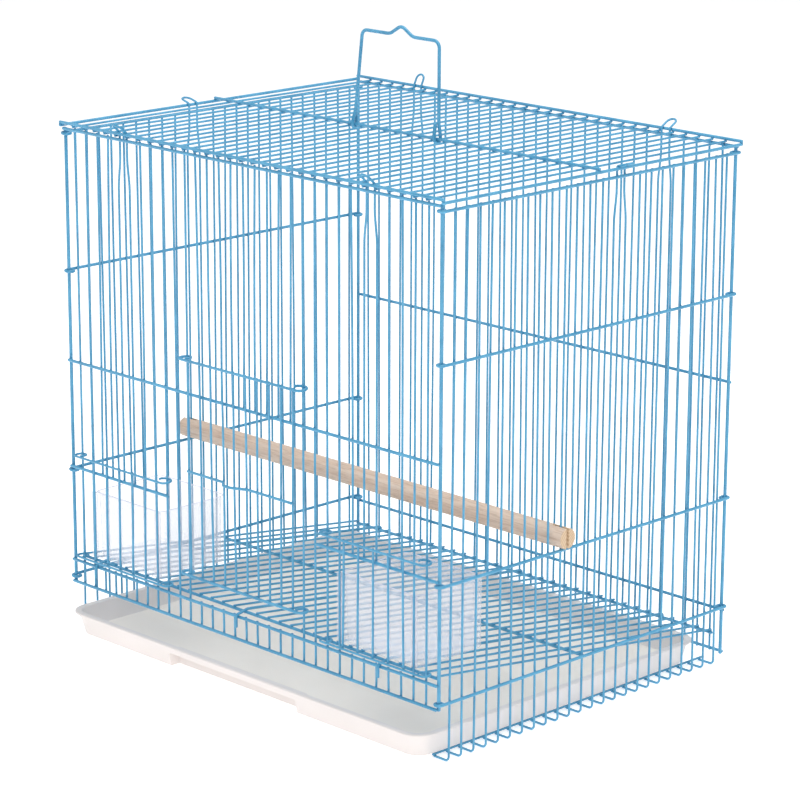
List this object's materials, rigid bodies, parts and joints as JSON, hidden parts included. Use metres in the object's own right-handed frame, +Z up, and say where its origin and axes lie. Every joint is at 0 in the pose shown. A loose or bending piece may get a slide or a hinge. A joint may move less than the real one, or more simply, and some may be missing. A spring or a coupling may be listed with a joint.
{
  "type": "wire bird cage",
  "caption": "Small collapsible wire bird cage with a lift-up door, feeder doors, clip-in cups, a perch, a sloping floor grid, a slide-out tray and a carrying handle.",
  "frame": {"origin": "centre of the bounding box, on the ground", "axes": "+Z up, doors face -Y, +X to the right as seen from in front of the doors"},
  "size_m": [0.3188, 0.2489, 0.3637],
  "materials": {
    "blue_coating": "glossy light blue plastic-coated steel wire",
    "perch_wood": "plain turned dowel",
    "clear_plastic": "clear moulded plastic with a faint lavender tint",
    "tray_plastic": "moulded off-white plastic, fine grain inside"
  },
  "bodies": {
    "frame": {"front_corner_posts": "blue_coating", "front_uprights": "blue_coating", "front_top_wire": "blue_coating", "front_middle_wire": "blue_coating", "front_feeder_wires": "blue_coating", "front_sill_wire": "blue_coating", "front_bottom_wire": "blue_coating", "front_clip_loops": "blue_coating", "back_corner_posts": "blue_coating", "back_uprights": "blue_coating", "back_top_wire": "blue_coating", "back_upper_wire": "blue_coating", "back_lower_wire": "blue_coating", "back_bottom_wire": "blue_coating", "back_clip_loops": "blue_coating", "left_uprights": "blue_coating", "left_feet": "blue_coating", "left_rail": "blue_coating", "left_top_wire": "blue_coating", "left_upper_wire": "blue_coating", "left_lower_wire": "blue_coating", "left_bottom_wire": "blue_coating", "left_clip_loop": "blue_coating", "right_uprights": "blue_coating", "right_feet": "blue_coating", "right_rail": "blue_coating", "right_top_wire": "blue_coating", "right_upper_wire": "blue_coating", "right_lower_wire": "blue_coating", "right_bottom_wire": "blue_coating", "right_clip_loop": "blue_coating", "top_long_wires": "blue_coating", "top_edge_wires": "blue_coating", "top_thin_wires": "blue_coating"},
    "floor_grid": {"floor_long_wires": "blue_coating", "floor_thin_wires": "blue_coating", "floor_hook_wires": "blue_coating"},
    "handle": {"handle": "blue_coating"},
    "main_door": {"main_door_bars": "blue_coating", "main_door_rails": "blue_coating"},
    "left_feeder_door": {"left_feeder_bars": "blue_coating", "left_feeder_rails": "blue_coating"},
    "right_feeder_door": {"right_feeder_bars": "blue_coating", "right_feeder_rails": "blue_coating"},
    "perch": {"perch": "perch_wood"},
    "left_cup": {"left_cup": "clear_plastic"},
    "right_cup": {"right_cup": "clear_plastic"},
    "tray": {"tray": "tray_plastic"}
  },
  "joints": [
    {"name": "main_door_lift", "type": "slide", "parent": "frame", "child": "main_door", "axis": [0, 0, 1], "range_m": [-0.012, 0.102]},
    {"name": "left_feeder_lift", "type": "slide", "parent": "frame", "child": "left_feeder_door", "axis": [0, 0, 1], "range_m": [0, 0.05]},
    {"name": "right_feeder_lift", "type": "slide", "parent": "frame", "child": "right_feeder_door", "axis": [0, 0, 1], "range_m": [0, 0.05]},
    {"name": "handle_swing", "type": "hinge", "parent": "frame", "child": "handle", "pos_m": [0, 0.00159, 0.30365], "axis": [1, 0, 0], "range_deg": [-88, 88]},
    {"name": "floor_tilt", "type": "hinge", "parent": "frame", "child": "floor_grid", "pos_m": [0, -0.11526, 0.0445], "axis": [1, 0, 0], "range_deg": [0, 5]},
    {"name": "perch_lift", "type": "slide", "parent": "frame", "child": "perch", "axis": [0, 0, 1], "range_m": [0, 0.1]},
    {"name": "left_cup_lift", "type": "slide", "parent": "frame", "child": "left_cup", "axis": [0, 0, 1], "range_m": [0, 0.06]},
    {"name": "right_cup_lift", "type": "slide", "parent": "frame", "child": "right_cup", "axis": [0, 0, 1], "range_m": [0, 0.06]},
    {"name": "tray_pull", "type": "slide", "parent": "frame", "child": "tray", "axis": [0, -1, 0], "range_m": [-0.009, 0.215]}
  ]
}
